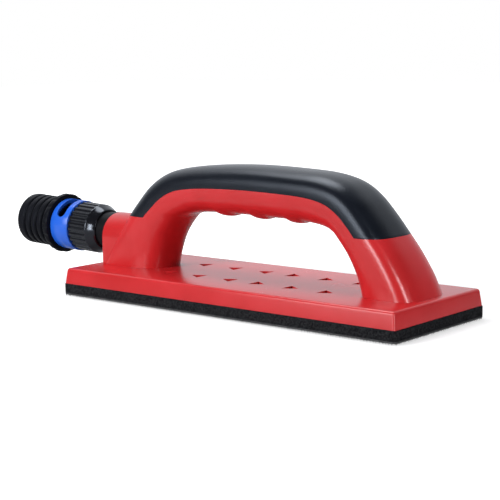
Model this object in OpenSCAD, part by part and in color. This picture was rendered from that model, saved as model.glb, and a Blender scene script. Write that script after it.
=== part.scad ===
// Hand sanding block with a dust outlet: a flat pad, an arched handle and a turning hose connector.
// Millimetres. +Z is up, +X is the nose and -X the hose end. The origin is the centre of the
// sanding face, so the block stands on z = 0.

/* [Sanding pad] */
// Length of the sanding face
pad_l = 198; // [160:1:240]
// Width of the sanding face
pad_w = 70; // [58:1:90]
// Radius of the pad's corners
pad_corner_r = 2.5; // [1:0.5:5]
// Thickness of the hook facing
hook_t = 1.5; // [1:0.1:2.5]
// Thickness of the foam
foam_t = 4.6; // [3:0.1:10]

/* [Dust holes] */
// Radius of each dust hole
dust_hole_r = 5; // [3:0.5:6]
// Distance between neighbouring holes along the pad
dust_pitch_x = 54; // [40:1:56]
// Distance between the two rows of holes
dust_pitch_y = 34; // [28:1:40]

/* [Base plate] */
// How far the pad stands out past the base plate on each side
pad_overhang = 0.55; // [0.2:0.05:2]
// Height of the base plate
base_h = 7.55; // [6.5:0.05:12]
// Thickness of the base plate's top
base_top_t = 2.4; // [2:0.1:3]
// Thickness of the base plate's side walls
base_wall_t = 3.2; // [2.6:0.1:4]
// Thickness of the backing plate that closes the base
backing_t = 2; // [1.6:0.1:3]
// Width of the ledge that the backing plate rests on
ledge_w = 1.6; // [1:0.1:2]
// Depth of the triangular recesses in the top
recess_depth = 1.2; // [0.5:0.1:1.4]
// Width of a recess across its base
recess_w = 7.8; // [4:0.1:10]
// Length of a recess from base to tip
recess_l = 6.6; // [4:0.1:8]
// Distance between neighbouring recesses along the plate
recess_pitch_x = 19.5; // [12:0.5:26]
// Distance between the two rows of recesses
recess_pitch_y = 26.4; // [20:0.2:32]

/* [Handle] */
// Height of the handle above the base plate
handle_h = 52.85; // [46:0.05:70]
// Width of the handle at its front foot
handle_w = 32; // [26:0.5:40]
// From the base plate's rear end to the outlet boss
rear_margin = 4.15; // [2:0.1:10]
// From the handle's front foot to the base plate's front end
front_margin = 5; // [2:0.1:15]
// Wall thickness of the handle frame and of the grip
shell_t = 3; // [2.4:0.1:4]
// Height of the three finger bumps under the grip
bump_h = 1.3; // [0:0.1:2.5]

/* [Outlet boss] */
// Half width of the boss, and the radius of its round top
boss_r = 12; // [11.4:0.1:14]
// Height of the connector's axis over the base plate, at the boss
outlet_rise = 14.7; // [13:0.1:20]
// Upward tilt of the connector, in degrees
outlet_tilt = 2.4; // [0:0.1:6]
// Radius of the dust passage inside the handle
duct_r = 7; // [5:0.1:8]

/* [Connector] */
// Radius of the fixed spigot's sleeve in the boss
spigot_r = 9; // [8.2:0.1:9.5]
// Radius of the barrel that the connector turns on
barrel_r = 7.6; // [6.8:0.1:8]
// Radius of the air passage through the spigot
air_r = 6.1; // [4.5:0.1:6.3]
// Radius over the collar's flutes
collar_r = 12.6; // [12:0.1:14]
// Number of flutes on the collar
flute_count = 26; // [12:1:28]
// Radius of the air regulator ring
ring_r = 13.1; // [12.9:0.1:15]
// Length of the air regulator ring
ring_l = 12.5; // [10:0.1:16]
// Wall thickness of the air regulator ring
ring_t = 2; // [1.6:0.1:2.2]
// Radius over the hose cuff's ribs
cuff_r = 13.2; // [13:0.1:16]
// Radius of the hose cuff's flange
cuff_flange_r = 15.4; // [15:0.1:20]
// Length of the hose cuff
cuff_l = 26.4; // [24:0.1:40]
// Distance between the hose cuff's ribs
rib_pitch = 4.4; // [3.6:0.1:6]

/* [Fits] */
// Radial clearance of a turning fit
running_fit = 0.05; // [0.02:0.01:0.1]
// Clearance between fixed pieces that slide together
seat_fit = 0.05; // [0.02:0.01:0.1]
// Clearance between moving pieces that never touch
free_gap = 0.3; // [0.2:0.05:0.5]

/* [Hidden] */
$fn = 96;
eps = 0.01;

// Levels up from the sanding face
foam_z = hook_t;
base_z = hook_t + foam_t;
ledge_z = base_z + backing_t;
base_top = base_z + base_h;
plenum_top = base_top - base_top_t;

// The base plate's outline
base_l = pad_l - 2 * pad_overhang;
base_w = pad_w - 2 * pad_overhang;
base_corner_r = pad_corner_r - pad_overhang;
mouth_wall_t = base_wall_t - ledge_w;

// Self-tapping screws
backing_screw_r = 1.5;
backing_head_r = 2.9;
backing_head_t = 1.4;
backing_boss_r = 3.4;
backing_screw_l = plenum_top + 0.6 - base_z;
backing_screw_inset_x = 9;
backing_screw_inset_y = 8;
handle_screw_r = 1.7;
handle_head_r = 3.3;
handle_head_t = 1.9;
handle_screw_l = 14;
screw_tip_gap = 0.8;

// The plenum seal lies in a groove in the ledge's face
seal_w = 0.8;
seal_t = 0.7;

// Key sections of the handle, from the rear foot to the front one. Each holds the outer edge
// [x, z], the inner edge [x, z], the half width, and how square the outer and inner sides are.
// x runs over the handle's reference length and z over its reference height above the plate.
ref_l = 187.7;
ref_h = 52.85;
ref_w = 32;
handle_keys = [
    [-94.2, 0, -57.5, 0, 13.9, 4.6, 2.6],
    [-89.6, 8.4, -55.4, 8.4, 13.9, 3.8, 2.6],
    [-83.8, 17.4, -51.4, 17.4, 14, 3, 2.6],
    [-78, 25.4, -44.6, 25.4, 14, 2.9, 2.6],
    [-71.6, 32.6, -40.4, 27.4, 14.1, 2.9, 2.5],
    [-63.6, 40.7, -36.4, 28.4, 14.2, 2.8, 2.5],
    [-54, 46.7, -32, 29, 14.3, 2.7, 2.4],
    [-43, 49.8, -27.4, 29.3, 14.4, 2.6, 2.4],
    [-24, 51.9, -20, 29.5, 14.5, 2.6, 2.4],
    [0, 52.85, 0, 29.5, 14.6, 2.6, 2.4],
    [25, 52.3, 22, 29.1, 14.7, 2.6, 2.4],
    [42, 51.1, 33, 28.6, 14.8, 2.7, 2.4],
    [54, 48, 40.4, 27.8, 15, 2.8, 2.5],
    [62.5, 42.3, 44.9, 26.8, 15.2, 3, 2.5],
    [70.2, 34.4, 47.2, 26.1, 15.4, 3.2, 2.6],
    [77.6, 25.4, 48.6, 25.4, 15.6, 3.4, 2.6],
    [83.7, 17.4, 55.6, 17.4, 15.8, 3.7, 2.7],
    [89.4, 8.4, 60.8, 8.4, 16, 4, 2.8],
    [93.5, 0, 63.2, 0, 16, 4.2, 2.8]
];
grip_first = 3;
grip_last = 15;
bar_first = 7;
bar_last = 10;
grip_share = 0.55;
lower_sides = 22;
upper_sides = 21;
bumps_x = [-17, 4, 25];
bump_half_l = 4.6;

// The handle's place along the base
handle_rear_x = -base_l / 2 + rear_margin;
handle_front_x = base_l / 2 - front_margin;
handle_scale = [(handle_front_x - handle_rear_x) / ref_l, handle_w / ref_w, handle_h / ref_h];
handle_mid_x = (handle_front_x + handle_rear_x) / 2 + 0.35 * handle_scale[0];

// The outlet boss and the elbow of the dust passage
boss_x = handle_rear_x - 0.4;
boss_l = 26;
duct_inset = 15.5;
outlet_z = base_top + outlet_rise;
boss_arch_z = max(outlet_z - 2.05, base_top + boss_r);
grip_rear_x = handle_mid_x + handle_keys[grip_first][0] * handle_scale[0];
grip_end_z = base_top + handle_keys[grip_first][1] * handle_scale[2];
duct_x = boss_x + duct_inset;
duct_top_z = outlet_z + 4;
sleeve_l = 8;
spot_depth = 0.7;
spot_r = 10;
gasket_r = duct_r + 1.9;
gasket_w = 1.5;
gasket_t = 1;

// Where the four handle screws stand
rear_screw_x = duct_x + gasket_r + 9.5;
rear_screw_y = 6.5;
front_screw_x = handle_front_x - 12.5;
front_screw_y = 9;
core_x = front_screw_x - 8;
core_r = 5.5;
core_h = 14;
handle_screws_at = [
    [rear_screw_x, -rear_screw_y], [rear_screw_x, rear_screw_y],
    [front_screw_x, -front_screw_y], [front_screw_x, front_screw_y]
];

// Stations along the connector's axis, measured out from the boss
flange_t = 1.6;
neck_r = 9.4;
collar_start = 6.9;
washer_start = 9;
washer_t = 0.8;
tube_start = washer_start + washer_t + 0.2;
barrel_end = 24;
snap_start = 20.8;
snap_t = 1;
snap_depth = 0.9;
tube_step = snap_start - free_gap;
collar_end = 24.5;
ring_start = collar_end + free_gap;
ring_end = ring_start + ring_l;
ring_mid = (ring_start + ring_end) / 2;
cuff_start = ring_end + free_gap;
cuff_end = cuff_start + cuff_l;
tube_end = cuff_start + 8;
ferrule_end = cuff_end - 1.5;

// Radii of the turning tube and what is screwed on it
tube_collar_r = 10.3;
tube_ring_r = ring_r - ring_t - running_fit;
tube_thread_r = 10.1;
tube_bore_r = 8.8;
ferrule_r = 11.5;
ferrule_flange_r = 12.7;
ferrule_flange_t = 1;
ferrule_bore_r = 9.2;

// The regulator ring's slot and the vent window, as angles from the top towards the far side
slot_from = -66;
slot_to = 16;
slot_w = 5;
window_from = -62;
window_to = -14;
window_w = 5;
stop_pin_r = 0.9;
slot_end_deg = asin(slot_w / 2 / ring_r);
second_slot = 180;
stop_pin_at = second_slot + slot_to - slot_end_deg;
round_end_step = 0.04;

// O-rings
sleeve_oring_r = 0.75;
barrel_oring_r = 0.45;
ring_oring_r = 0.55;
oring_gap = 0.1;
sleeve_seal_at = -4.5;
barrel_seal_at = 14.5;
ring_seal_at = [ring_start + 1.8, ring_end - 1.8];

// ---------------------------------------------------------------- helpers

module rounded_slab(l, w, r, t) {
    linear_extrude(height = t) {
        square([l - 2 * r, w], center = true);
        square([l, w - 2 * r], center = true);
        for (sx = [-1, 1], sy = [-1, 1])
            translate([sx * (l / 2 - r), sy * (w / 2 - r)]) circle(r);
    }
}

module at_dust_holes() {
    for (i = [-1.5 : 1 : 1.5], s = [-1, 1])
        translate([i * dust_pitch_x, s * dust_pitch_y / 2, 0]) children();
}

module at_backing_screws() {
    x = base_l / 2 - backing_screw_inset_x;
    y = base_w / 2 - backing_screw_inset_y;
    for (px = [-x, 0, x], py = [-y, y]) translate([px, py, 0]) children();
}

module at_handle_screws() {
    for (p = handle_screws_at) translate([p[0], p[1], 0]) children();
}

// Puts children on the connector's axis: local +Z runs out of the boss, local +X is up.
module on_outlet() {
    translate([boss_x, 0, outlet_z]) rotate([0, outlet_tilt - 90, 0]) children();
}

module tube(r_out, r_in, from, to) {
    difference() {
        translate([0, 0, from]) cylinder(r = r_out, h = to - from);
        translate([0, 0, from - 1]) cylinder(r = r_in, h = to - from + 2);
    }
}

module torus(ring_radius, wire_radius, at) {
    translate([0, 0, at]) rotate_extrude() translate([ring_radius, 0]) circle(wire_radius, $fn = 32);
}

// A window cut along the circumference, between two angles from local +X. Its ends are square.
module ring_window(from, to, w, r_in, r_out, at) {
    translate([0, 0, at - w / 2]) rotate([0, 0, from])
        rotate_extrude(angle = to - from)
            translate([r_in, 0]) square([r_out - r_in, w]);
}

// The same with round ends, which stand in by a hair so that they meet the sides at an edge.
module ring_slot(from, to, w, r_in, r_out, at) {
    end = asin(w / 2 / r_out);
    ring_window(from + end, to - end, w, r_in, r_out, at);
    for (a = [from + end, to - end])
        rotate([0, 0, a]) translate([r_in - 0.5, 0, at]) rotate([0, 90, 0])
            cylinder(r = w / 2 - round_end_step, h = r_out - r_in + 1);
}

// ---------------------------------------------------------------- pad and base

module hook_facing() {
    color([0.1, 0.1, 0.11]) difference() {
        rounded_slab(pad_l, pad_w, pad_corner_r, hook_t);
        at_dust_holes() translate([0, 0, -1]) cylinder(r = dust_hole_r, h = hook_t + 2);
    }
}

module foam_pad() {
    color([0.15, 0.15, 0.16]) difference() {
        translate([0, 0, foam_z]) rounded_slab(pad_l, pad_w, pad_corner_r, foam_t);
        at_dust_holes() translate([0, 0, foam_z - 1]) cylinder(r = dust_hole_r, h = foam_t + 2);
    }
}

module backing_plate() {
    gap = 2 * (mouth_wall_t + seat_fit);
    color([0.2, 0.2, 0.22]) difference() {
        translate([0, 0, base_z])
            rounded_slab(base_l - gap, base_w - gap, base_corner_r - 0.4, backing_t);
        at_dust_holes() translate([0, 0, base_z - 1]) cylinder(r = dust_hole_r, h = backing_t + 2);
        at_backing_screws() translate([0, 0, base_z - 1])
            cylinder(r = backing_screw_r + seat_fit, h = backing_t + 2);
        at_backing_screws() translate([0, 0, base_z - eps])
            cylinder(r1 = backing_head_r + seat_fit, r2 = backing_screw_r + seat_fit,
                     h = backing_head_t + 2 * eps);
    }
}

// The cross of a screw's head, cut upwards from z = 0.
module cross_slot(l, w, depth) {
    for (a = [0, 90]) rotate([0, 0, a]) translate([-l / 2, -w / 2, -1]) cube([l, w, depth + 1]);
}

module backing_screws() {
    color([0.75, 0.75, 0.77]) at_backing_screws() translate([0, 0, base_z]) difference() {
        union() {
            cylinder(r1 = backing_head_r, r2 = backing_screw_r, h = backing_head_t);
            translate([0, 0, backing_head_t - eps])
                cylinder(r = backing_screw_r, h = backing_screw_l - backing_head_t);
        }
        cross_slot(2.8, 0.6, 0.8);
    }
}

// Runs round the ledge, half sunk in its groove and clear of the plate it seals.
module seal_path(extra, t) {
    l = base_l - 2 * (mouth_wall_t + ledge_w / 2);
    w = base_w - 2 * (mouth_wall_t + ledge_w / 2);
    difference() {
        rounded_slab(l + seal_w + 2 * extra, w + seal_w + 2 * extra, 1, t);
        translate([0, 0, -1])
            rounded_slab(l - seal_w - 2 * extra, w - seal_w - 2 * extra, 0.5, t + 2);
    }
}

module plenum_seal() {
    color([0.08, 0.08, 0.08]) translate([0, 0, ledge_z]) seal_path(0, seal_t);
}

module recess() {
    linear_extrude(height = recess_depth + 1)
        polygon([[0, -recess_w / 2], [recess_l, 0], [0, recess_w / 2]]);
}

// The recesses fill the space between the feet, half of them pointing each way.
module recesses() {
    first_base_x = 6;
    foot_gap = 0.8;
    rear_foot_x = handle_mid_x + handle_keys[0][2] * handle_scale[0];
    front_foot_x = handle_mid_x + handle_keys[len(handle_keys) - 1][2] * handle_scale[0];
    reach = min(-rear_foot_x, front_foot_x) - foot_gap;
    columns = floor((reach - first_base_x - recess_l) / recess_pitch_x) + 1;
    for (i = [0 : columns - 1], side = [0, 180], s = [-1, 1])
        translate([0, s * recess_pitch_y / 2, base_top - recess_depth])
            rotate([0, 0, side]) translate([first_base_x + i * recess_pitch_x, 0, 0]) recess();
}

module base_plate() {
    inner_l = base_l - 2 * base_wall_t;
    inner_w = base_w - 2 * base_wall_t;
    mouth_l = base_l - 2 * mouth_wall_t;
    mouth_w = base_w - 2 * mouth_wall_t;
    color([0.85, 0.12, 0.13]) difference() {
        union() {
            difference() {
                translate([0, 0, base_z]) rounded_slab(base_l, base_w, base_corner_r, base_h);
                translate([0, 0, base_z - 1])
                    rounded_slab(mouth_l, mouth_w, base_corner_r - 0.4, backing_t + 1);
                translate([0, 0, base_z])
                    rounded_slab(inner_l, inner_w, 1, plenum_top - base_z);
            }
            at_backing_screws() translate([0, 0, ledge_z])
                cylinder(r = backing_boss_r, h = plenum_top - ledge_z + eps);
        }
        translate([0, 0, ledge_z - eps]) seal_path(seat_fit, seal_t + seat_fit + eps);
        at_backing_screws() translate([0, 0, base_z])
            cylinder(r = backing_screw_r + seat_fit, h = backing_screw_l + 0.3);
        at_handle_screws() translate([0, 0, plenum_top - 1])
            cylinder(r = handle_screw_r + 0.3, h = base_top_t + 2);
        translate([duct_x, 0, plenum_top - 1]) cylinder(r = duct_r, h = base_top_t + 2);
        translate([duct_x, 0, base_top - gasket_t])
            tube(gasket_r + seat_fit, gasket_r - gasket_w - seat_fit, 0, gasket_t + 1);
        recesses();
    }
}

module duct_gasket() {
    color([0.08, 0.08, 0.08]) translate([duct_x, 0, base_top - gasket_t])
        tube(gasket_r, gasket_r - gasket_w, 0, gasket_t);
}

module handle_screws() {
    color([0.75, 0.75, 0.77]) at_handle_screws() translate([0, 0, plenum_top]) difference() {
        union() {
            translate([0, 0, -handle_head_t]) cylinder(r = handle_head_r, h = handle_head_t);
            translate([0, 0, -eps]) cylinder(r = handle_screw_r, h = handle_screw_l);
        }
        translate([0, 0, -handle_head_t]) cross_slot(3.2, 0.7, 1);
    }
}

// ---------------------------------------------------------------- handle

// A smooth curve through the key sections, by the cubic that passes through each of them.
function key(i) = handle_keys[max(0, min(len(handle_keys) - 1, i))];
function through(a, b, c, d, t) =
    0.5 * (2 * b + (c - a) * t + (2 * a - 5 * b + 4 * c - d) * t * t
           + (3 * b - a - 3 * c + d) * t * t * t);
function section_at(i, t) = through(key(i - 1), key(i), key(i + 1), key(i + 2), t);
function steps_after(i) = i >= bar_first && i <= bar_last ? 6 : 3;
function sections(from, to) = concat(
    [for (i = [from : to - 1], k = [0 : steps_after(i) - 1]) section_at(i, k / steps_after(i))],
    [key(to)]
);

function bump_at(x) = bump_h * max([for (b = bumps_x) exp(-pow((x - b) / bump_half_l, 4))]);
function power(a, e) = sign(a) * pow(abs(a), e);

// A point of a section: angle 0 to 180 goes over the outer side, 180 to 360 under the inner side.
// inset moves it in towards the section's centre.
function section_point(s, angle, inset) =
    let (
        outer = [s[0], s[1]],
        inner = [s[2], s[3]],
        height = norm(outer - inner),
        dir = (outer - inner) / height,
        centre = inner + (outer - inner) * grip_share,
        up = sin(angle) >= 0,
        reach = up ? height * (1 - grip_share) : height * grip_share + (inset > 0 ? 0 : bump_at(s[2])),
        square = up ? s[5] : s[6],
        across = (s[4] - inset) * power(cos(angle), 2 / square),
        along = (reach - inset) * power(sin(angle), 2 / square),
        p = centre + dir * along
    )
    [handle_mid_x + p[0] * handle_scale[0], across * handle_scale[1],
     base_top + p[1] * handle_scale[2]];

function lower_arc(s, inset) =
    [for (k = [0 : lower_sides]) section_point(s, 180 + 180 * k / lower_sides, inset)];
function full_ring(s) = concat(
    lower_arc(s, 0),
    [for (k = [1 : upper_sides]) section_point(s, 180 * k / (upper_sides + 1), 0)]
);
function channel_ring(s) = concat(
    lower_arc(s, 0),
    [for (k = [0 : upper_sides - 1]) section_point(s, 360 - 180 * k / (upper_sides - 1), shell_t)]
);
function grip_ring(s) = concat(
    [for (k = [0 : lower_sides]) section_point(s, 180 * k / lower_sides, 0)],
    [for (k = [0 : lower_sides]) section_point(s, 180 - 180 * k / lower_sides, shell_t)]
);

function flat(list) = [for (a = list, b = a) b];
function between_rings(rings, n) = [
    for (r = [0 : len(rings) - 2], k = [0 : n - 1])
        [r * n + k, (r + 1) * n + k, (r + 1) * n + (k + 1) % n, r * n + (k + 1) % n]
];

// The red frame: whole at both feet, and an open channel under the grip.
module frame_loft() {
    last = len(handle_keys) - 1;
    rings = concat(
        [for (s = sections(0, grip_first)) full_ring(s)],
        [for (s = sections(grip_first, grip_last)) channel_ring(s)],
        [for (s = sections(grip_last, last)) full_ring(s)]
    );
    n = len(rings[0]);
    ends = [[for (k = [0 : n - 1]) k], [for (k = [n - 1 : -1 : 0]) (len(rings) - 1) * n + k]];
    polyhedron(points = flat(rings), faces = concat(between_rings(rings, n), ends));
}

// The boss makes room for the grip's rear end where it reaches up to it.
module boss_solid() {
    difference() {
        translate([boss_x, 0, 0]) rotate([90, 0, 90]) linear_extrude(height = boss_l) {
            translate([0, boss_arch_z]) circle(boss_r);
            translate([-boss_r, base_top]) square([2 * boss_r, boss_arch_z - base_top]);
        }
        translate([grip_rear_x, -handle_w, grip_end_z]) cube([boss_l, 2 * handle_w, handle_h]);
    }
}

module handle_frame() {
    color([0.85, 0.12, 0.13]) difference() {
        union() {
            frame_loft();
            boss_solid();
        }
        translate([duct_x, 0, base_top - 1]) cylinder(r = duct_r, h = duct_top_z - base_top + 1);
        on_outlet() translate([0, 0, -spot_depth]) cylinder(r = spot_r, h = 5);
        on_outlet() translate([0, 0, -sleeve_l - spot_depth])
            cylinder(r = spigot_r + seat_fit, h = sleeve_l + 5);
        on_outlet() translate([0, 0, -duct_inset - 0.5]) cylinder(r = air_r, h = duct_inset + 0.5);
        at_handle_screws() translate([0, 0, base_top - 1])
            cylinder(r = handle_screw_r + seat_fit, h = handle_screw_l - base_top_t + screw_tip_gap + 1);
        translate([core_x, 0, base_top - 1]) cylinder(r = core_r, h = core_h + 1);
    }
}

// The black soft-touch grip that closes the frame's channel from above.
module grip_cover() {
    rings = [for (s = sections(grip_first, grip_last)) grip_ring(s)];
    n = len(rings[0]);
    m = lower_sides + 1;
    start = (len(rings) - 1) * n;
    ends = concat(
        [for (k = [0 : m - 2]) [k, k + 1, n - 2 - k, n - 1 - k]],
        [for (k = [0 : m - 2]) [start + n - 1 - k, start + n - 2 - k, start + k + 1, start + k]]
    );
    color([0.1, 0.11, 0.13])
        polyhedron(points = flat(rings), faces = concat(between_rings(rings, n), ends));
}

// ---------------------------------------------------------------- fixed half of the swivel

module outlet_spigot() {
    color([0.12, 0.12, 0.13]) on_outlet() difference() {
        union() {
            translate([0, 0, -sleeve_l - spot_depth]) cylinder(r = spigot_r, h = sleeve_l + 1);
            translate([0, 0, -spot_depth]) cylinder(r = spot_r - 0.2, h = flange_t + spot_depth);
            cylinder(r = neck_r, h = washer_start);
            cylinder(r = barrel_r, h = barrel_end);
        }
        translate([0, 0, -20]) cylinder(r = air_r, h = barrel_end + 21);
        oring_groove(spigot_r, sleeve_oring_r, sleeve_seal_at);
        oring_groove(barrel_r, barrel_oring_r, barrel_seal_at);
        tube(barrel_r + 1, barrel_r - snap_depth, snap_start - 0.05, snap_start + snap_t + 0.05);
    }
}

module oring_groove(r, wire_radius, at) {
    half_w = wire_radius * 1.25;
    tube(r + 1, r - 2 * wire_radius - oring_gap, at - half_w, at + half_w);
}

module spigot_seal() {
    color([0.08, 0.08, 0.08]) on_outlet()
        torus(spigot_r - sleeve_oring_r - seat_fit, sleeve_oring_r, sleeve_seal_at);
}

module swivel_seal() {
    color([0.08, 0.08, 0.08]) on_outlet()
        torus(barrel_r - barrel_oring_r - running_fit, barrel_oring_r, barrel_seal_at);
}

module thrust_washer() {
    color([0.92, 0.92, 0.9]) on_outlet()
        tube(neck_r - 0.2, barrel_r + running_fit, washer_start, washer_start + washer_t);
}

module snap_ring() {
    gap_w = 4;
    color([0.7, 0.7, 0.72]) on_outlet() difference() {
        tube(barrel_r + 0.9, barrel_r - snap_depth + 0.05, snap_start, snap_start + snap_t);
        translate([-20, -gap_w / 2, snap_start - 1]) cube([20, gap_w, snap_t + 2]);
    }
}

// ---------------------------------------------------------------- turning half

module vent_tube() {
    color([0.12, 0.12, 0.13]) on_outlet() difference() {
        union() {
            translate([0, 0, tube_start]) cylinder(r = tube_collar_r, h = collar_end - tube_start + eps);
            translate([0, 0, collar_end]) cylinder(r = tube_ring_r, h = ring_end - collar_end + free_gap);
            translate([0, 0, ring_end]) cylinder(r = tube_thread_r, h = tube_end - ring_end);
        }
        translate([0, 0, tube_start - 1]) cylinder(r = barrel_r + running_fit, h = 20);
        translate([0, 0, tube_step]) cylinder(r = tube_bore_r, h = 60);
        ring_window(window_from, window_to, window_w, tube_bore_r - 1, tube_ring_r + 1, ring_mid);
        for (at = ring_seal_at)
            oring_groove(tube_ring_r, ring_oring_r, at);
        rotate([0, 0, stop_pin_at]) translate([tube_bore_r - 1, 0, ring_mid])
            rotate([0, 90, 0]) cylinder(r = stop_pin_r + running_fit, h = 5);
    }
}

module ring_seals() {
    color([0.08, 0.08, 0.08]) on_outlet() for (at = ring_seal_at)
        torus(tube_ring_r - ring_oring_r - running_fit, ring_oring_r, at);
}

module stop_pin() {
    color([0.7, 0.7, 0.72]) on_outlet() rotate([0, 0, stop_pin_at])
        translate([tube_bore_r + 0.2, 0, ring_mid]) rotate([0, 90, 0])
            cylinder(r = stop_pin_r, h = ring_r - 0.4 - tube_bore_r - 0.2);
}

// Smooth cone at the boss end, round-bottomed flutes over the rest.
module swivel_collar() {
    cone_end = 12.3;
    cone_tip_r = 10.1;
    edge_r = 0.3;
    flute_start = 11.8;
    flute_r = 0.95;
    flute_axis_r = collar_r + 0.35;
    color([0.12, 0.12, 0.13]) on_outlet() difference() {
        rotate_extrude() polygon([
            [neck_r + free_gap, collar_start], [cone_tip_r, collar_start],
            [collar_r - 0.5, cone_end - 0.9], [collar_r, cone_end + 0.4],
            [collar_r, collar_end - edge_r], [collar_r - edge_r, collar_end],
            [tube_collar_r + seat_fit, collar_end], [tube_collar_r + seat_fit, tube_start],
            [neck_r + free_gap, tube_start]
        ]);
        for (i = [0 : flute_count - 1]) rotate([0, 0, i * 360 / flute_count]) {
            translate([flute_axis_r, 0, flute_start + flute_r]) cylinder(r = flute_r, h = 20, $fn = 24);
            translate([flute_axis_r, 0, flute_start + flute_r]) sphere(r = flute_r, $fn = 24);
        }
    }
}

module regulator_ring() {
    edge_r = 0.3;
    color([0.13, 0.3, 0.95]) on_outlet() difference() {
        rotate_extrude() polygon([
            [ring_r - ring_t, ring_start], [ring_r - edge_r, ring_start], [ring_r, ring_start + edge_r],
            [ring_r, ring_end - edge_r], [ring_r - edge_r, ring_end], [ring_r - ring_t, ring_end]
        ]);
        for (turn = [0, second_slot]) rotate([0, 0, turn])
            ring_slot(slot_from, slot_to, slot_w, ring_r - ring_t - 1, ring_r + 1, ring_mid);
    }
}

// ---------------------------------------------------------------- hose end

module cuff_ferrule() {
    color([0.12, 0.12, 0.13]) on_outlet() rotate_extrude() polygon([
        [tube_thread_r + seat_fit, cuff_start], [ferrule_flange_r, cuff_start],
        [ferrule_flange_r, cuff_start + ferrule_flange_t], [ferrule_r, cuff_start + ferrule_flange_t],
        [ferrule_r, ferrule_end], [ferrule_bore_r, ferrule_end],
        [ferrule_bore_r, tube_end + 0.3], [tube_thread_r + seat_fit, tube_end + 0.3]
    ]);
}

// Rubber cuff: a lobed flange, then round ribs with a groove between each two.
module hose_cuff() {
    flange_l = 3;
    flange_end = cuff_start + flange_l + 1.6;
    groove_d = 1.1;
    end_r = 1.2;
    lobes = 18;
    lobe_gap_r = 2;
    first_groove = flange_end + 2.2;
    last_rib_l = 1.6;
    grooves = floor((cuff_end - end_r - last_rib_l - first_groove) / rib_pitch);
    color([0.1, 0.1, 0.11]) on_outlet() difference() {
        rotate_extrude() polygon([
            [ferrule_flange_r + seat_fit, cuff_start], [cuff_flange_r - 0.6, cuff_start],
            [cuff_flange_r, cuff_start + 0.6], [cuff_flange_r, cuff_start + flange_l],
            [cuff_r, flange_end], [cuff_r, cuff_end - end_r],
            [cuff_r - 0.35 * end_r, cuff_end - 0.35 * end_r],
            [cuff_r - end_r, cuff_end], [ferrule_bore_r, cuff_end],
            [ferrule_bore_r, ferrule_end], [ferrule_r + seat_fit, ferrule_end],
            [ferrule_r + seat_fit, cuff_start + ferrule_flange_t],
            [ferrule_flange_r + seat_fit, cuff_start + ferrule_flange_t]
        ]);
        for (i = [0 : grooves]) torus(cuff_r + 0.1, groove_d, first_groove + i * rib_pitch);
        for (i = [0 : lobes - 1]) rotate([0, 0, (i + 0.5) * 360 / lobes])
            translate([cuff_flange_r + 0.8 * lobe_gap_r, 0, cuff_start - 1])
                cylinder(r = lobe_gap_r, h = flange_l + 1.8, $fn = 24);
    }
}

base_plate();
backing_plate();
plenum_seal();
backing_screws();
foam_pad();
hook_facing();
handle_frame();
grip_cover();
handle_screws();
duct_gasket();
outlet_spigot();
spigot_seal();
thrust_washer();
swivel_seal();
snap_ring();
vent_tube();
swivel_collar();
stop_pin();
ring_seals();
regulator_ring();
cuff_ferrule();
hose_cuff();
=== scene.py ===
# %% [markdown]
# # A hand sanding block with a dust outlet
# The working shape comes packed from CAD: a flat pad, an arched two-part handle and a hose
# connector that turns. Here the moulded shells, the foam and the rubber are modelled again with
# finer curves, and every part gets its finish. Each cell before a piece says how it is made.

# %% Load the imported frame
import math

import bmesh
import bpy
from mathutils import Matrix, Vector


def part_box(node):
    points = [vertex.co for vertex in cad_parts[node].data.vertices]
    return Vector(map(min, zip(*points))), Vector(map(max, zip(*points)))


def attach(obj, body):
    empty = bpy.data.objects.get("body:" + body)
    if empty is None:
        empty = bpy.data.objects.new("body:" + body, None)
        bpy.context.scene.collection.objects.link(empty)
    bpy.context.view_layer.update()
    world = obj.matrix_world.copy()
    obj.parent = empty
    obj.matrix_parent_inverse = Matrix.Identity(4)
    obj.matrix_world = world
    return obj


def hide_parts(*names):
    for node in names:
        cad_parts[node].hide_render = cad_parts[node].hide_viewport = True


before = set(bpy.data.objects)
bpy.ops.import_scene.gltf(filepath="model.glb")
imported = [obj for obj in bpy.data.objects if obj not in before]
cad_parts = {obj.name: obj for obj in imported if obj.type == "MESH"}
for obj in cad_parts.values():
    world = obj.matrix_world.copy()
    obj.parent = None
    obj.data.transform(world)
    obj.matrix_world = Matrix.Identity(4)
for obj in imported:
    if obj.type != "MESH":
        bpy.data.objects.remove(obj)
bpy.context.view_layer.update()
MM = 0.001

# %% [markdown]
# The camera comes first. A long lens keeps the block's sides nearly parallel. It stands low, at the
# front corner, so that the side, the nose and the underside of the handle all show.

# %% Place the camera
camera = bpy.data.objects.new("camera", bpy.data.cameras.new("camera"))
bpy.context.scene.collection.objects.link(camera)
bpy.context.scene.camera = camera
camera.data.lens = 99.0
camera.data.sensor_width = 36
camera_at = Vector((406.6, -486.8, 121.9)) * MM
looks_at = Vector((-6.5, -0.4, 26.2)) * MM
back = (camera_at - looks_at).normalized()
right = Vector((0, 0, 1)).cross(back).normalized()
lean = Matrix.Rotation(math.radians(-0.93), 3, back)
right, up = lean @ right, lean @ back.cross(right)
camera.matrix_world = Matrix.Translation(camera_at) @ Matrix((right, up, back)).transposed().to_4x4()
print("camera distance in mm:", round((camera_at - looks_at).length / MM))

# %% [markdown]
# An operator works on whatever is selected, and the frame's parts start out selected. These
# helpers deselect everything, open one piece in edit mode, and pick faces or edges by a test on
# their place.

# %% Selecting helpers
def only(*pieces):
    if bpy.context.object and bpy.context.object.mode != "OBJECT":
        bpy.ops.object.mode_set(mode="OBJECT")
    bpy.ops.object.select_all(action="DESELECT")
    for piece in pieces:
        piece.select_set(True)
    bpy.context.view_layer.objects.active = pieces[0] if pieces else None


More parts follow.
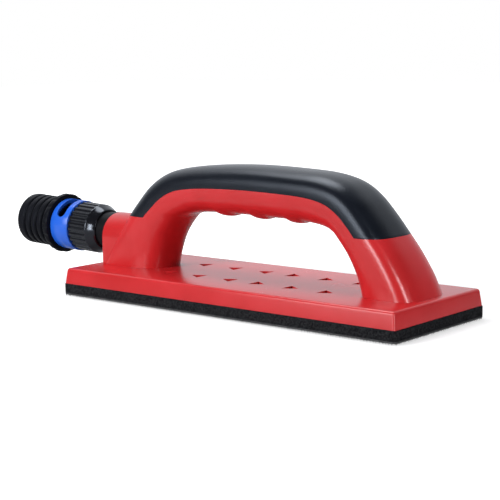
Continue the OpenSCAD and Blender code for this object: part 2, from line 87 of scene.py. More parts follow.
def edit(piece, kind):
    only(piece)
    bpy.ops.object.mode_set(mode="EDIT")
    bpy.ops.mesh.select_mode(type=kind)
    bpy.ops.mesh.select_all(action="DESELECT")


def pick(piece, kind, test):
    edit(piece, kind)
    mesh = bmesh.from_edit_mesh(piece.data)
    parts = {"FACE": mesh.faces, "EDGE": mesh.edges, "VERT": mesh.verts}[kind]
    chosen = [part for part in parts if test(part)]
    for part in chosen:
        part.select_set(True)
    bmesh.update_edit_mesh(piece.data)
    return len(chosen)


def level(part, z):
    return all(abs(v.co.z - z * MM) < 1e-6 for v in part.verts)

# %% [markdown]
# A finished piece has its place in its mesh, smooth shading that breaks at its true edges, one
# finish, and a body to ride on.

# %% Finishing helpers
def close_up(piece):
    edit(piece, "VERT")
    bpy.ops.mesh.select_all(action="SELECT")
    bpy.ops.mesh.remove_doubles(threshold=2e-6)
    bpy.ops.mesh.normals_make_consistent(inside=False)
    only(piece)


def apply_modifier(piece, kind, **settings):
    only(piece)
    modifier = piece.modifiers.new(kind, kind)
    for name, value in settings.items():
        setattr(modifier, name, value)
    bpy.ops.object.modifier_apply(modifier=modifier.name)


def carve(piece, cutter, operation="DIFFERENCE"):
    apply_modifier(piece, "BOOLEAN", object=cutter, operation=operation, solver="EXACT")
    bpy.data.objects.remove(cutter)


def sweep_up(piece):
    """Merges the hair-fine slivers that a cut leaves, and closes any pinhole left by them."""
    only(piece)
    bpy.ops.object.mode_set(mode="EDIT")
    bpy.ops.mesh.select_all(action="SELECT")
    bpy.ops.mesh.remove_doubles(threshold=0.03 * MM)
    bpy.ops.mesh.dissolve_degenerate(threshold=0.02 * MM)
    bpy.ops.mesh.select_all(action="SELECT")
    bpy.ops.mesh.fill_holes(sides=4)
    bpy.ops.object.mode_set(mode="OBJECT")


def round_edges(piece, width, segments=3, angle=40):
    apply_modifier(piece, "BEVEL", width=width * MM, segments=segments,
                   angle_limit=math.radians(angle), use_clamp_overlap=True)


def settle(piece, name, body, stands_for, angle=35):
    only(piece)
    bpy.ops.object.transform_apply(location=True, rotation=True, scale=True)
    bpy.ops.object.shade_smooth_by_angle(angle=math.radians(angle))
    piece.name = piece.data.name = name
    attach(piece, body)
    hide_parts(*stands_for)
    piece.data.calc_loop_triangles()
    print(name, len(piece.data.loop_triangles), "triangles on", body)
    return piece

# %% [markdown]
# ## The base plate
# A shallow injection-moulded tray. It is a box whose underside is inset and pushed up twice, first
# for the backing plate and then for the dust chamber. Its top is drawn in for draft, and its
# upright edges and top rim are bevelled together, so that they meet in round corners.

# %% Model the base plate
base_low, base_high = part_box("base_plate")
base_size = (base_high - base_low) / MM
base_top = base_high.z / MM
base_z = base_low.z / MM
draft = 0.9
wall, seat_depth, chamber_depth, rim_r = 1.6, 2.0, 3.15, 1.3

only()
bpy.ops.mesh.primitive_cube_add(size=1, location=(base_low + base_high) / 2, scale=base_high - base_low)
base = bpy.context.object
bpy.ops.object.transform_apply(location=True, rotation=True, scale=True)
pick(base, "FACE", lambda f: level(f, base_z))
for depth in (seat_depth, chamber_depth):
    bpy.ops.mesh.inset(thickness=wall * MM)
    bpy.ops.mesh.extrude_region_move(TRANSFORM_OT_translate={"value": (0, 0, depth * MM)})
pick(base, "FACE", lambda f: level(f, base_top))
bpy.ops.transform.resize(value=(1 - 2 * draft / base_size.x, 1 - 2 * draft / base_size.y, 1),
                         center_override=(0, 0, base_top * MM))
pick(base, "EDGE", lambda e: any(abs(v.co.z - base_top * MM) < 1e-6 for v in e.verts))
bpy.ops.mesh.bevel(offset=rim_r * MM, segments=7)
only(base)
print("base plate", [round(s, 2) for s in base_size], "mm")

# %% [markdown]
# Twelve arrowhead recesses in two rows are sunk in the top. One three-sided prism is shaped and
# copied to each place, those behind the middle turned round, and all are carved out together.

# %% Sink the recesses
recess_l, recess_w, recess_depth = 6.6, 7.8, 1.2
recess_bases = [6, 25.5, 45]
recess_row_y = 13.2

only()
bpy.ops.mesh.primitive_cylinder_add(vertices=3, radius=1, depth=2 * recess_depth * MM,
                                    rotation=(0, 0, -math.pi / 2))
arrowhead = bpy.context.object
bpy.ops.object.transform_apply(rotation=True)
arrowhead.data.transform(Matrix.Diagonal((recess_l / 1.5 * MM, recess_w / 3 ** 0.5 * MM, 1, 1)))
arrowheads = []
for way in (1, -1):
    for foot in recess_bases:
        for side in (1, -1):
            copy = arrowhead.copy()
            copy.data = arrowhead.data.copy()
            turn = Matrix.Rotation(0 if way > 0 else math.pi, 4, "Z")
            copy.data.transform(Matrix.Translation((way * (foot + recess_l / 3) * MM,
                                                    side * recess_row_y * MM, base_top * MM)) @ turn)
            bpy.context.scene.collection.objects.link(copy)
            arrowheads.append(copy)
bpy.data.objects.remove(arrowhead)
only(*arrowheads)
bpy.ops.object.join()
carve(base, bpy.context.object)
base = settle(base, "base_moulding", "housing", ["base_plate"])

# %% [markdown]
# ## The handle's sections
# Both handle shells follow one arch. Each key section holds the arch's outer edge, its inner edge,
# its half width, and how square its outer and inner halves are. A smooth cubic runs through them.

# %% Handle sections
handle_keys = [
    (-94.2, 0, -57.5, 0, 13.9, 4.6, 2.6), (-89.6, 8.4, -55.4, 8.4, 13.9, 3.8, 2.6),
    (-83.8, 17.4, -51.4, 17.4, 14, 3, 2.6), (-78, 25.4, -44.6, 25.4, 14, 2.9, 2.6),
    (-71.6, 32.6, -40.4, 27.4, 14.1, 2.9, 2.5), (-63.6, 40.7, -36.4, 28.4, 14.2, 2.8, 2.5),
    (-54, 46.7, -32, 29, 14.3, 2.7, 2.4), (-43, 49.8, -27.4, 29.3, 14.4, 2.6, 2.4),
    (-24, 51.9, -20, 29.5, 14.5, 2.6, 2.4), (0, 52.85, 0, 29.5, 14.6, 2.6, 2.4),
    (25, 52.3, 22, 29.1, 14.7, 2.6, 2.4), (42, 51.1, 33, 28.6, 14.8, 2.7, 2.4),
    (54, 48, 40.4, 27.8, 15, 2.8, 2.5), (62.5, 42.3, 44.9, 26.8, 15.2, 3, 2.5),
    (70.2, 34.4, 47.2, 26.1, 15.4, 3.0, 2.6), (77.6, 25.4, 48.6, 25.4, 15.6, 3.1, 2.6),
    (83.7, 17.4, 55.6, 17.4, 15.8, 3.2, 2.7), (89.4, 8.4, 60.8, 8.4, 16, 3.3, 2.8),
    (93.5, 0, 63.2, 0, 16, 3.4, 2.8),
]
grip_from, grip_to = 3, 15
grip_share = 0.55
handle_middle = -0.075
finger_bumps = [-17, 4, 25]
bump_height, bump_half = 1.45, 3.9


def through(a, b, c, d, t):
    return tuple(0.5 * (2 * q + (r - p) * t + (2 * p - 5 * q + 4 * r - s) * t * t
                        + (3 * q - p - 3 * r + s) * t ** 3) for p, q, r, s in zip(a, b, c, d))


def key(i):
    return handle_keys[max(0, min(len(handle_keys) - 1, i))]


def sections(first, last):
    made = []
    for i in range(first, last):
        steps = 24 if 6 <= i <= 11 else 8
        made += [through(key(i - 1), key(i), key(i + 1), key(i + 2), k / steps) for k in range(steps)]
    return made + [key(last)]


print("the arch has", len(sections(0, len(handle_keys) - 1)), "sections")

# %% [markdown]
# A point on a section goes round a squared ellipse: up to half a turn over the outer side, then
# back under the inner side, where three low bumps stand between the fingers.

# %% A point on a section
def section_point(section, angle, inset=0.0):
    outer, inner = Vector(section[0:2]), Vector(section[2:4])
    height = (outer - inner).length
    lift = (outer - inner) / height
    over = math.sin(angle) >= 0
    bump = max(math.exp(-((section[2] - x) / bump_half) ** 4) for x in finger_bumps) * math.sin(angle) ** 4
    reach = height * (1 - grip_share) if over else height * grip_share + bump_height * bump
    square = section[5] if over else section[6]
    across = math.copysign(abs(math.cos(angle)) ** (2 / square), math.cos(angle))
    along = math.copysign(abs(math.sin(angle)) ** (2 / square), math.sin(angle))
    point = inner + (outer - inner) * grip_share + lift * (reach - inset) * along
    return Vector((handle_middle + point.x, (section[4] - inset) * across, base_top + point.y)) * MM


# %% [markdown]
# A loft is made as by hand: one circle for each section is pulled to that section's outline, the
# circles are joined, each neighbouring pair is bridged, and the two open ends are filled.

# %% Loft helper
def loft(outlines):
    circles = []
    for number, outline in enumerate(outlines):
        only()
        bpy.ops.mesh.primitive_circle_add(vertices=len(outline), radius=10 * MM)
        circle = bpy.context.object
        for vertex, point in zip(circle.data.vertices, outline):
            vertex.co = point
        row = circle.data.attributes.new("row", "INT", "POINT")
        row.data.foreach_set("value", [number] * len(outline))
        circles.append(circle)
    only(*circles)
    bpy.ops.object.join()
    piece = bpy.context.object
    edit(piece, "EDGE")
    mesh = bmesh.from_edit_mesh(piece.data)
    row = mesh.verts.layers.int["row"]
    rows = [[] for _ in outlines]
    for edge in mesh.edges:
        rows[edge.verts[0][row]].append(tuple(v.co.copy() for v in edge.verts))
    for number in range(len(outlines) - 1):
        mesh = bmesh.from_edit_mesh(piece.data)
        row = mesh.verts.layers.int["row"]
        for edge in mesh.edges:
            a, b = edge.verts[0][row], edge.verts[1][row]
            edge.select_set(a == b and a in (number, number + 1))
        bmesh.update_edit_mesh(piece.data)
        bpy.ops.mesh.bridge_edge_loops()
        bpy.ops.mesh.select_all(action="DESELECT")
    for end in (0, len(outlines) - 1):
        mesh = bmesh.from_edit_mesh(piece.data)
        row = mesh.verts.layers.int["row"]
        for edge in mesh.edges:
            edge.select_set(edge.verts[0][row] == end and edge.verts[1][row] == end)
        bmesh.update_edit_mesh(piece.data)
        bpy.ops.mesh.edge_face_add()
        bpy.ops.mesh.select_all(action="DESELECT")
    close_up(piece)
    return piece

# %% [markdown]
# ## The red handle frame
# The frame is whole at its two feet. Between them its outer half is sunk by the thickness of the
# grip that lies on it, so the rings change from full to sunk at the grip's two ends.

# %% Loft the handle frame
around = 48
under = [math.pi * (1 + k / around) for k in range(around + 1)]
over = [math.pi * k / around for k in range(1, around)]
grip_thickness = 3.0


def whole_ring(section):
    return [section_point(section, a) for a in under + over]


def sunk_ring(section):
    edge = [section_point(section, 0, grip_thickness), section_point(section, math.pi, grip_thickness)]
    inner = [section_point(section, math.pi * k / (around - 2), grip_thickness) for k in range(around - 1)]
    return [section_point(section, a) for a in under] + inner


last = len(handle_keys) - 1
handle = loft([whole_ring(s) for s in sections(0, grip_from)]
              + [sunk_ring(s) for s in sections(grip_from, grip_to)]
              + [whole_ring(s) for s in sections(grip_to, last)])
print("handle frame", [round(d / MM, 1) for d in handle.dimensions], "mm")

# %% [markdown]
# The outlet boss is a short D-shaped block behind the rear foot. A circle is pulled to the D, with
# a flat foot and a round top, extruded along the block, and its free rim is rounded.

# %% Model the outlet boss
boss_x, boss_r, boss_l, boss_arch_z = -94.7, 12.0, 26.0, 26.3
boss_edge_r = 0.9
arch = [(boss_r * math.cos(math.pi * k / 40), boss_arch_z + boss_r * math.sin(math.pi * k / 40))
        for k in range(41)]
outline = arch + [(-boss_r, base_top), (boss_r, base_top)]
only()
bpy.ops.mesh.primitive_circle_add(vertices=len(outline), radius=boss_r * MM, fill_type="NGON")
boss = bpy.context.object
for vertex, (y, z) in zip(boss.data.vertices, outline):
    vertex.co = Vector((boss_x, y, z)) * MM
edit(boss, "FACE")
bpy.ops.mesh.select_all(action="SELECT")
bpy.ops.mesh.extrude_region_move(TRANSFORM_OT_translate={"value": (boss_l * MM, 0, 0)})
close_up(boss)
pick(boss, "EDGE", lambda e: all(abs(v.co.x - boss_x * MM) < 1e-6 for v in e.verts)
     and any(v.co.z > (base_top + 1) * MM for v in e.verts))
bpy.ops.mesh.bevel(offset=boss_edge_r * MM, segments=5)
carve(handle, boss, "UNION")
print("boss rim at x", boss_x)

# %% [markdown]
# The connector's axis leaves the boss with a slight upward tilt. On it, local Z runs out of the
# boss and local X points up. Turned parts are built upright at the origin and then laid on it.

# %% The connector's axis
outlet_z, outlet_tilt = 28.35, 2.4
on_outlet = (Matrix.Translation(Vector((boss_x, 0, outlet_z)) * MM)
             @ Matrix.Rotation(math.radians(outlet_tilt - 90), 4, "Y"))


def turned(profile, segments):
    """A tube swept round Z: the profile's points are (radius, height) in mm, and it closes."""
    only()
    radius, height = profile[0]
    bpy.ops.mesh.primitive_circle_add(vertices=segments, radius=radius * MM)
    piece = bpy.context.object
    piece.data.transform(Matrix.Translation((0, 0, height * MM)))
    edit(piece, "VERT")
    bpy.ops.mesh.select_all(action="SELECT")
    for next_radius, next_height in profile[1:] + profile[:1]:
        bpy.ops.mesh.extrude_region_move(
            TRANSFORM_OT_translate={"value": (0, 0, (next_height - height) * MM)})
        bpy.ops.transform.resize(value=(next_radius / radius, next_radius / radius, 1),
                                 center_override=(0, 0, next_height * MM))
        radius, height = next_radius, next_height
    close_up(piece)
    return piece


def rod(radius, start, end, segments=64):
    """A plain cutter along the connector's axis."""
    only()
    bpy.ops.mesh.primitive_cylinder_add(vertices=segments, radius=radius * MM, depth=(end - start) * MM)
    piece = bpy.context.object
    piece.data.transform(on_outlet @ Matrix.Translation((0, 0, (start + end) / 2 * MM)))
    return piece

# %% [markdown]
# The spigot's socket and the dust passage are carved out of the boss and the rear leg, so that a
# look into the hose end shows the real elbow.

# %% Carve the dust passage
duct_x, duct_r, duct_top_z = -79.2, 7.0, 32.35
socket_steps = [(10.0, -0.7, 6.0), (9.05, -8.7, 6.0), (6.1, -16.0, 0.0)]  # radius, start and end
only()
bpy.ops.mesh.primitive_cylinder_add(vertices=64, radius=duct_r * MM,
                                    depth=(duct_top_z - base_top + 1) * MM)
duct = bpy.context.object
duct.data.transform(Matrix.Translation((duct_x * MM, 0, (duct_top_z + base_top - 1) / 2 * MM)))
carve(handle, duct)
for radius, start, end in socket_steps:
    carve(handle, rod(radius, start, end))
round_edges(handle, 0.22, 3, 42)
sweep_up(handle)
handle = settle(handle, "handle_moulding", "housing", ["handle_frame"], 32)

# %% [markdown]
# ## The soft grip
# The grip is the arch's outer half, as a shell of even thickness. Each ring runs over the outside
# and back along the inside. Its edges are rounded a little, which leaves the fine dark seam
# between the grip and the frame.

# %% Loft the grip
def shell_ring(section):
    outside = [section_point(section, math.pi * k / around) for k in range(around + 1)]
    inside = [section_point(section, math.pi * (1 - k / around), grip_thickness - 0.02)
              for k in range(around + 1)]
    return outside + inside


grip = loft([shell_ring(s) for s in sections(grip_from, grip_to)])
round_edges(grip, 0.3, 3, 50)
grip = settle(grip, "soft_grip", "housing", ["grip_cover"], 40)

# %% [markdown]
# ## Foam pad
# A sheet of closed-cell foam cut to the block's outline, with eight punched dust holes. A box is
# bevelled at its corners and along its rims, and eight cylinders are carved out.

# %% Model the foam pad
foam_low, foam_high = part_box("foam_pad")
hole_r, hole_xs, hole_y = 5.0, (-81, -27, 27, 81), 17


def punched_sheet(low, high, corner, rim):
    only()
    bpy.ops.mesh.primitive_cube_add(size=1, location=(low + high) / 2, scale=high - low)
    sheet = bpy.context.object
    bpy.ops.object.transform_apply(location=True, rotation=True, scale=True)
    pick(sheet, "EDGE", lambda e: abs(e.verts[0].co.z - e.verts[1].co.z) > 1e-4)
    bpy.ops.mesh.bevel(offset=corner * MM, segments=10)
    pick(sheet, "EDGE", lambda e: level(e, high.z / MM) or level(e, low.z / MM))
    bpy.ops.mesh.bevel(offset=rim * MM, segments=4)
    punches = []
    for x in hole_xs:
        for y in (-hole_y, hole_y):
            only()
            bpy.ops.mesh.primitive_cylinder_add(vertices=64, radius=hole_r * MM, depth=20 * MM,
                                                location=(x * MM, y * MM, 5 * MM))
            punches.append(bpy.context.object)
    only(*punches)
    bpy.ops.object.join()
    carve(sheet, bpy.context.object)
    return sheet


foam = punched_sheet(foam_low, foam_high, 2.5, 0.35)
foam = settle(foam, "foam_sheet", "housing", ["foam_pad"], 30)

# %% [markdown]
# ## Hook facing
# The facing is a thin woven backing with thousands of small hooks under it, which hold the
# abrasive sheet. One four-sided hook is bent from a cone and copied over the face in staggered
# rows, with its own small turn at each place so that the rows don't look printed.

# %% Model the hook facing
facing_low, facing_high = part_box("hook_facing")
backing_z = 0.75
facing = punched_sheet(Vector((facing_low.x, facing_low.y, backing_z * MM)), facing_high, 2.5, 0.12)

only()
bpy.ops.mesh.primitive_cone_add(vertices=4, radius1=0.24 * MM, radius2=0.12 * MM, depth=backing_z * MM,
                                location=(0, 0, backing_z / 2 * MM), rotation=(math.pi, 0, 0))
hook = bpy.context.object
bpy.ops.object.transform_apply(location=True, rotation=True)
pick(hook, "FACE", lambda f: level(f, 0))
bpy.ops.transform.translate(value=(0.3 * MM, 0, 0.1 * MM))
only(hook)
corners = [v.co.copy() for v in hook.data.vertices]
faces = [tuple(p.vertices) for p in hook.data.polygons if len(p.vertices) == 4 or p.center.z < 0.3 * MM]
bpy.data.objects.remove(hook)
print("a hook has", len(faces), "faces")

# %% Copy the hooks
pitch = 1.55
edge_in = 0.35
points, polygons = [], []
columns = int((198 - 2 * edge_in) / pitch)
rows = int((70 - 2 * edge_in) / pitch)
for i in range(columns + 1):
    for j in range(rows + 1):
        x = -99 + edge_in + i * (198 - 2 * edge_in) / columns
        y = -35 + edge_in + j * (70 - 2 * edge_in) / rows
        wobble = math.sin(12.9898 * i + 78.233 * j) * 43758.5453
        wobble -= math.floor(wobble)
        rim = i in (0, columns) or j in (0, rows)
        x += 0 if rim else (0.5 * (j % 2) + 0.35 * wobble) * pitch * 0.6
        in_hole = any(math.hypot(x - hx, y - hy) < hole_r + 0.5 for hx in hole_xs for hy in (-hole_y, hole_y))
        in_corner = math.hypot(max(0, abs(x) - 96.5), max(0, abs(y) - 32.5)) > 2.3
        if in_hole or in_corner:
            continue
        turn = Matrix.Rotation(2 * math.pi * wobble, 4, "Z")
        start = len(points)
        points += [turn @ c + Vector((x, y, 0)) * MM for c in corners]
        polygons += [tuple(start + k for k in face) for face in faces]
hooks = bpy.data.objects.new("hooks", bpy.data.meshes.new("hooks"))
hooks.data.from_pydata(points, [], polygons)
bpy.context.scene.collection.objects.link(hooks)
only(facing, hooks)
bpy.ops.object.join()
facing = settle(facing, "hook_sheet", "housing", ["hook_facing"], 30)

# %% [markdown]
# ## Swivel collar
# A turned ring with a smooth cone at the boss end and 26 round-bottomed flutes for the fingers. The
# collar is swept as a tube, and the points inside each flute are drawn in to the flute's round
# floor. The flutes end in round noses, which give the wavy line on the smooth band.

# %% Model the swivel collar
collar_r, collar_end = 12.6, 24.5
flutes, flute_r, flute_centre_r, flute_nose = 26, 0.95, 12.95, 12.75

cone = [(9.7, 6.9), (10.0, 6.9), (10.15, 6.98), (10.6, 7.8), (11.2, 9.1), (11.8, 10.4), (12.15, 11.1)]
shoulder = [(12.38, 11.5), (12.52, 11.75)] + [(12.6, 12.0 + 0.15 * k) for k in range(9)]
sleeve = [(12.6, 13.6 + 0.9 * k) for k in range(12)]
rim = [(12.6, collar_end - 0.35), (12.5, collar_end - 0.1), (12.3, collar_end)]
bore = [(10.36, collar_end), (10.36, 10.0), (9.7, 10.0)]
collar = turned(cone + shoulder + sleeve + rim + bore, flutes * 14)
for vertex in collar.data.vertices:
    radius = math.hypot(vertex.co.x, vertex.co.y) / MM
    if radius < 12.0:
        continue
    turn = math.atan2(vertex.co.y, vertex.co.x) * flutes / (2 * math.pi)
    aside = (turn - round(turn)) * 2 * math.pi / flutes * collar_r
    ahead = max(0.0, flute_nose - vertex.co.z / MM)
    spare = flute_r ** 2 - aside ** 2 - ahead ** 2
    if spare > 0 and flute_centre_r - math.sqrt(spare) < radius:
        new_radius = flute_centre_r - math.sqrt(spare)
        vertex.co.x *= new_radius / radius
        vertex.co.y *= new_radius / radius
collar.data.transform(on_outlet)
collar = settle(collar, "fluted_collar", "connector", ["swivel_collar"], 50)

# %% [markdown]
# ## Air regulator ring
# A blue sleeve with two long slots. Turned over the vent window in the tube below, it lets side air
# in. The tube is swept with rounded rims, and the slots are carved with round-ended cutters. The
# slivers left by the cut are merged before the slots' edges are rounded, and again after.

# %% Model the regulator ring
ring_start, ring_end, ring_r, ring_t = 24.8, 37.3, 13.1, 2.0
ring_middle = (ring_start + ring_end) / 2
slot_from, slot_to, slot_w = -66, 18, 5.8
ring = turned([(ring_r - ring_t, ring_start), (ring_r - 0.3, ring_start), (ring_r - 0.09, ring_start + 0.09),
               (ring_r, ring_start + 0.3), (ring_r, ring_end - 0.3), (ring_r - 0.09, ring_end - 0.09),
               (ring_r - 0.3, ring_end), (ring_r - ring_t, ring_end)], 180)


cutter_step, cutter_layers, undercut = 0.5, 23, 0.15


def slot_cutter(turn):
    """An arc-shaped wedge with round ends, which starts inside the wall and ends well outside it,
    so that its flat outer cap, which spans the arc as a chord, stays clear of the ring."""
    end = math.degrees(math.asin(slot_w / 2 / ring_r))
    first, last = slot_from + end, slot_to - end
    rim = []
    for k in range(25):
        rim.append((first + (last - first) * k / 24, slot_w / 2))
    for k in range(1, 12):
        a = math.pi / 2 - math.pi * k / 12
        rim.append((last + end * math.cos(a), slot_w / 2 * math.sin(a)))
    for k in range(25):
        rim.append((last + (first - last) * k / 24, -slot_w / 2))
    for k in range(1, 12):
        a = -math.pi / 2 - math.pi * k / 12
        rim.append((first + end * math.cos(a), slot_w / 2 * math.sin(a)))
    outlines = []
    for layer in range(cutter_layers):
        radius = ring_r - ring_t - 1 + cutter_step * layer
        flare = 1 + undercut * max(0.0, ring_r - radius)
        outlines.append([Vector((radius * math.cos(math.radians(turn + a)),
                                 radius * math.sin(math.radians(turn + a)), ring_middle + s * flare)) * MM
                         for a, s in rim])
    return loft(outlines)


for turn in (0, 180):
    carve(ring, slot_cutter(turn))
sweep_up(ring)
round_edges(ring, 0.12, 2, 40)
sweep_up(ring)
ring.data.transform(on_outlet)
ring = settle(ring, "air_ring", "regulator", ["regulator_ring"], 35)

# %% [markdown]
# ## Hose cuff
# A rubber sleeve with round ribs that grip inside a hose, and a lobed flange that stops it. The
# profile is worked out point by point: each groove is a soft dip between two crowned ribs.

# %% Model the hose cuff
cuff_start, cuff_end, cuff_r, flange_r = 37.6, 64.0, 13.2, 15.4
grooves = [44.4, 48.8, 53.2, 57.6]
lobes, lobe_gap_r = 18, 2.0
end_r = 2.2


def rib_radius(s):
    dip = sum(1.15 * math.exp(-abs((s - g) / 0.62) ** 2.2) for g in grooves)
    nearest = min(grooves, key=lambda g: abs(s - g))
    crown = 0.22 * max(0.0, 1 - abs(s - nearest) / 2.2) ** 2
    return cuff_r - dip - crown


outside = [(12.76, cuff_start), (flange_r - 0.7, cuff_start), (flange_r - 0.2, 37.8), (flange_r, 38.3),
           (flange_r, 39.2), (flange_r, 40.2), (flange_r - 0.25, 40.7), (flange_r - 0.9, 41.1),
           (14.0, 41.5), (13.5, 41.9), (13.25, 42.3)]
outside += [(rib_radius(42.6 + 0.22 * k), 42.6 + 0.22 * k) for k in range(88)]
outside += [(cuff_r - end_r * (1 - math.cos(a)), cuff_end - end_r * (1 - math.sin(a)))
            for a in (math.pi / 2 * k / 8 for k in range(1, 9))]
inside = [(9.2, cuff_end), (9.2, 62.5), (11.55, 62.5), (11.55, 38.6), (12.76, 38.6)]
cuff = turned(outside + inside, lobes * 10)
for vertex in cuff.data.vertices:
    radius = math.hypot(vertex.co.x, vertex.co.y) / MM
    if vertex.co.z / MM > 41.8 or radius < 13.5:
        continue
    turn = math.atan2(vertex.co.y, vertex.co.x) * lobes / (2 * math.pi) - 0.5
    aside = (turn - round(turn)) * 2 * math.pi / lobes * flange_r
    if abs(aside) < lobe_gap_r:
        new_radius = min(radius, flange_r + 0.8 * lobe_gap_r - math.sqrt(lobe_gap_r ** 2 - aside ** 2))
        vertex.co.x *= new_radius / radius
        vertex.co.y *= new_radius / radius
cuff.data.transform(on_outlet)
cuff = settle(cuff, "ribbed_cuff", "connector", ["hose_cuff"], 45)

# %% [markdown]
# ## Finishes
# Shader maths reads as plain Python here. The class wraps one shader socket: its operators add Math
# nodes, and its one method adds any other node, with its settings first and its sockets after.

# %% Shader sockets as Python values
class Shade:
    def __init__(self, tree, socket=None):
        self.tree, self.socket = tree, socket

    def add(self, kind, settings=None, values=None, out=0):
        node = self.tree.nodes.new("ShaderNode" + kind)
        for name, value in (settings or {}).items():
            if name == "stops":
                for stop, (place, colour) in zip(node.color_ramp.elements, value):
                    stop.position, stop.color = place, colour
            else:
                setattr(node, name, value)
        for name, value in (values or {}).items():
            if isinstance(value, Shade):
                self.tree.links.new(value.socket, node.inputs[name])
            else:
                node.inputs[name].default_value = value
        return Shade(self.tree, node.outputs[out])

    def math(self, operation, a, b=0.0):
        return self.add("Math", {"operation": operation}, {0: a, 1: b})

    def __add__(self, other):
        return self.math("ADD", self, other)

    __radd__ = __add__

    def __mul__(self, other):
        return self.math("MULTIPLY", self, other)

    __rmul__ = __mul__

    def __sub__(self, other):
        return self.math("SUBTRACT", self, other)

    def __rsub__(self, other):
        return self.math("SUBTRACT", other, self)


# %% [markdown]
# Every finish starts the same way: a base colour that drifts a little, a roughness that varies, and
# a fine grain that a Bump node turns into relief. Patterns read the piece's own coordinates in
# metres, so a scale of 1000 repeats every millimetre.

# %% A finish from its recipe
def noise(place, scale, detail=2.0, rough=0.5):
    return place.add("TexNoise", {}, {"Vector": place, "Scale": scale, "Detail": detail,
                                      "Roughness": rough})


def finish(name, dark, light, drift=60.0, roughness=(0.35, 0.45), grain=1500.0, depth=0.02, **constants):
    material = bpy.data.materials.new(name)
    material.use_nodes = True
    tree = material.node_tree
    shader = tree.nodes["Principled BSDF"]
    place = Shade(tree).add("TexCoord", out=3)
    cloud = noise(place, drift, 3.0)
    grainy = noise(place, grain, 3.0, 0.6)
    colour = place.add("ValToRGB", {"stops": [(0.3, (*dark, 1)), (0.7, (*light, 1))]}, {"Fac": cloud})
    shine = roughness[0] + (cloud * 0.6 + grainy * 0.4) * (roughness[1] - roughness[0])
    relief = place.add("Bump", {}, {"Height": grainy, "Strength": 1.0, "Distance": depth * MM})
    tree.links.new(colour.socket, shader.inputs["Base Color"])
    tree.links.new(shine.socket, shader.inputs["Roughness"])
    tree.links.new(relief.socket, shader.inputs["Normal"])
    for socket, value in constants.items():
        shader.inputs[socket.replace("_", " ")].default_value = value
    return material


def dress(material, *pieces):
    for piece in pieces:
        piece.data.materials.clear()
        piece.data.materials.append(material)
    print(material.name, "on", [piece.name for piece in pieces])

# %% [markdown]
# The body is a satin red: glossy enough that its near-flat top mirrors the bright room at a low
# angle, with the fine spark texture of a moulding tool.

# %% Moulded plastics
moulded_red = finish("moulded_red", (0.56, 0.017, 0.019), (0.64, 0.022, 0.026), 45, (0.22, 0.30), 1400, 0.010)
dress(moulded_red, base, handle)
cool = (0.8, 0.88, 1, 1)
moulded_black = finish("moulded_black", (0.005, 0.005, 0.007), (0.008, 0.008, 0.010), 80, (0.10, 0.16), 1800,
                       0.004, Specular_Tint=cool)
dress(moulded_black, collar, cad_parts["vent_tube"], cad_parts["cuff_ferrule"])
dull_black = finish("dull_black", (0.004, 0.004, 0.005), (0.006, 0.006, 0.008), 80, (0.4, 0.5), 1400, 0.01,
                    Specular_IOR_Level=0.12)
dress(dull_black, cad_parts["outlet_spigot"])
moulded_blue = finish("moulded_blue", (0.014, 0.115, 0.66), (0.020, 0.14, 0.74), 80, (0.22, 0.30),
                      1600, 0.008)
dress(moulded_blue, ring)
backing_black = finish("backing_black", (0.020, 0.020, 0.024), (0.028, 0.028, 0.032), 60, (0.45, 0.6),
                       900, 0.03)
dress(backing_black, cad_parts["backing_plate"])
washer_nylon = finish("washer_nylon", (0.68, 0.68, 0.64), (0.76, 0.76, 0.72), 60, (0.4, 0.5), 900, 0.01)
dress(washer_nylon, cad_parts["thrust_washer"])

# %% [markdown]
# The grip is a blue-black soft moulding with a leathery grain. Its medium roughness keeps its
# highlights soft and grey, and the tint of its reflections keeps them cool. The cuff is duller.

# %% Rubbers
soft_touch = finish("soft_touch", (0.003, 0.004, 0.0075), (0.005, 0.0065, 0.011), 90, (0.25, 0.33),
                    1700, 0.08, Specular_IOR_Level=0.36, Specular_Tint=cool)
dress(soft_touch, grip)
cuff_rubber = finish("cuff_rubber", (0.0025, 0.0025, 0.004), (0.0045, 0.0045, 0.007), 70, (0.42, 0.52),
                     1200, 0.03, Specular_IOR_Level=0.12, Specular_Tint=cool)
dress(cuff_rubber, cuff)
seal_rubber = finish("seal_rubber", (0.008, 0.008, 0.008), (0.013, 0.013, 0.013), 90, (0.45, 0.6), 1500, 0.01)
dress(seal_rubber, *[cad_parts[n] for n in ("plenum_seal", "duct_gasket", "spigot_seal", "swivel_seal",
                                                 "ring_seals")])

# %% [markdown]
# Cut foam shows its cells: small dark pits between paler walls. The hooks are a dull black nylon.

# %% Foam and hooks
foam_black = finish("foam_black", (0.001, 0.001, 0.002), (0.030, 0.030, 0.032), 1500, (0.75, 0.9), 1500, 0.12,
                    Specular_IOR_Level=0.05)
dress(foam_black, foam)
hook_nylon = finish("hook_nylon", (0.010, 0.010, 0.011), (0.07, 0.07, 0.072), 900, (0.5, 0.7), 1500, 0.05)
dress(hook_nylon, facing)

# %% [markdown]
# The screws, the stop pin and the snap ring are zinc-plated steel: metal with a cloudy brightness.

# %% Steel
zinc_steel = finish("zinc_steel", (0.50, 0.51, 0.53), (0.62, 0.63, 0.66), 250, (0.25, 0.4), 1800,
                    0.008, Metallic=1.0)
dress(zinc_steel, *[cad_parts[n] for n in ("backing_screws", "handle_screws", "stop_pin", "snap_ring")])

# %% [markdown]
# ## Studio
# The floor is a wide white sheet. To the camera it shows a little brighter than it is lit, so that
# it fades to plain white while it keeps the block's soft shadow.

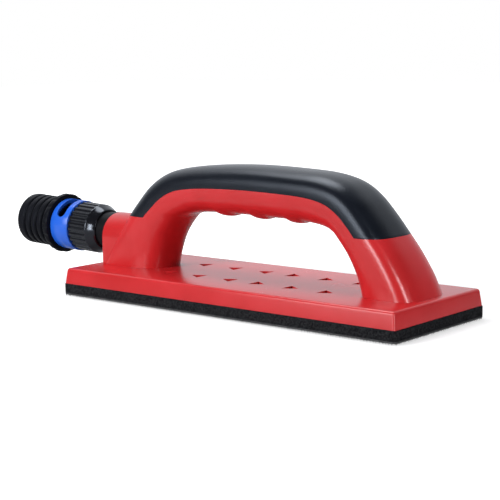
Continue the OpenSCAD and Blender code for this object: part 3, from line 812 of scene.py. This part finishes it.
# %% Lay the floor
only()
bpy.ops.mesh.primitive_plane_add(size=6)
floor = bpy.context.object
floor.name = "floor"
paper = bpy.data.materials.new("floor_paper")
paper.use_nodes = True
paper_shader = paper.node_tree.nodes["Principled BSDF"]
paper_shader.inputs["Base Color"].default_value = (0.6, 0.6, 0.6, 1)
paper_shader.inputs["Roughness"].default_value = 0.9
paper_shader.inputs["Specular IOR Level"].default_value = 0.1
seen = Shade(paper.node_tree).add("LightPath")
spot = seen.add("TexCoord", out=3)
reach = seen.add("VectorMath", {"operation": "LENGTH"}, {0: spot}, out=1)
fade = seen.add("MapRange", {"interpolation_type": "SMOOTHSTEP"},
                {"Value": reach, "From Min": 0.09, "From Max": 0.19, "To Min": 0.6, "To Max": 1.0})
paper_shader.inputs["Emission Color"].default_value = (1, 1, 1, 1)
glow = seen * fade
paper.node_tree.links.new(glow.socket, paper_shader.inputs["Emission Strength"])
floor.data.materials.append(paper)

# %% [markdown]
# A pale room gives the even fill. A broad lamp overhead lights the tops and one on the left
# lights the sides. Two fills give light to the side and the nose but aren't mirrored. Two narrow
# strips light nothing, and are only mirrored, as the bright lines on the front leg.

# %% Light the studio
world = bpy.data.worlds.new("studio")
bpy.context.scene.world = world
world.use_nodes = True
room = world.node_tree
seen = Shade(room).add("LightPath")
mirrored = seen.add("LightPath", out=3)
through_glass = seen.add("LightPath", out=6)
towards = seen.add("TexCoord")
away = Vector((-back.x, -back.y, 0.35)).normalized()
behind = seen.add("VectorMath", {"operation": "DOT_PRODUCT"}, {0: towards, 1: away}, out=1)
backdrop = seen.add("MapRange", {"interpolation_type": "SMOOTHSTEP"},
                    {"Value": behind, "From Min": 0.32, "From Max": 0.88, "To Min": 0.12, "To Max": 1.0})
diffuse_part = 0.065 * (1 - seen - mirrored - through_glass)
strength = seen + (mirrored + through_glass) * backdrop + diffuse_part
room.links.new(strength.socket, room.nodes["Background"].inputs["Strength"])
tint = seen.add("Mix", {"data_type": "RGBA"}, {0: seen, 6: (0.90, 0.94, 1, 1), 7: (1, 1, 1, 1)}, out=2)
room.links.new(tint.socket, room.nodes["Background"].inputs["Color"])


def soft_lamp(name, place, aim, width, height, watts, lights=True, shines=True):
    lamp = bpy.data.objects.new(name, bpy.data.lights.new(name, "AREA"))
    lamp.data.shape = "RECTANGLE"
    lamp.data.size, lamp.data.size_y, lamp.data.energy = width, height, watts
    lamp.data.color = (0.95, 0.97, 1)
    lamp.location = place
    lamp.visible_diffuse, lamp.visible_glossy = lights, shines
    lamp.rotation_euler = (Vector(aim) - Vector(place)).to_track_quat("-Z", "Y").to_euler()
    bpy.context.scene.collection.objects.link(lamp)


soft_lamp("overhead", (-0.35, 0.15, 1.0), (0, 0, 0), 0.6, 0.5, 6.0)
soft_lamp("left_side", (-0.40, -0.95, 0.42), (0, 0, 0.03), 0.5, 0.5, 6.0)
soft_lamp("left_fill", (-0.40, -0.95, 0.48), (0, 0, 0.03), 0.3, 0.3, 5.0, True, False)
soft_lamp("nose_fill", (1.0, -0.05, 0.35), (0.07, 0, 0.03), 0.3, 0.3, 4.6, True, False)
soft_lamp("side_streak", (-0.06, -1.0, 0.22), (0.07, 0, 0.03), 0.08, 0.44, 3.2, False)
soft_lamp("nose_streak", (0.93, -0.5, 0.42), (0.07, 0, 0.03), 0.13, 0.6, 6.0, False)

view = bpy.context.scene.view_settings
view.view_transform = "Standard"
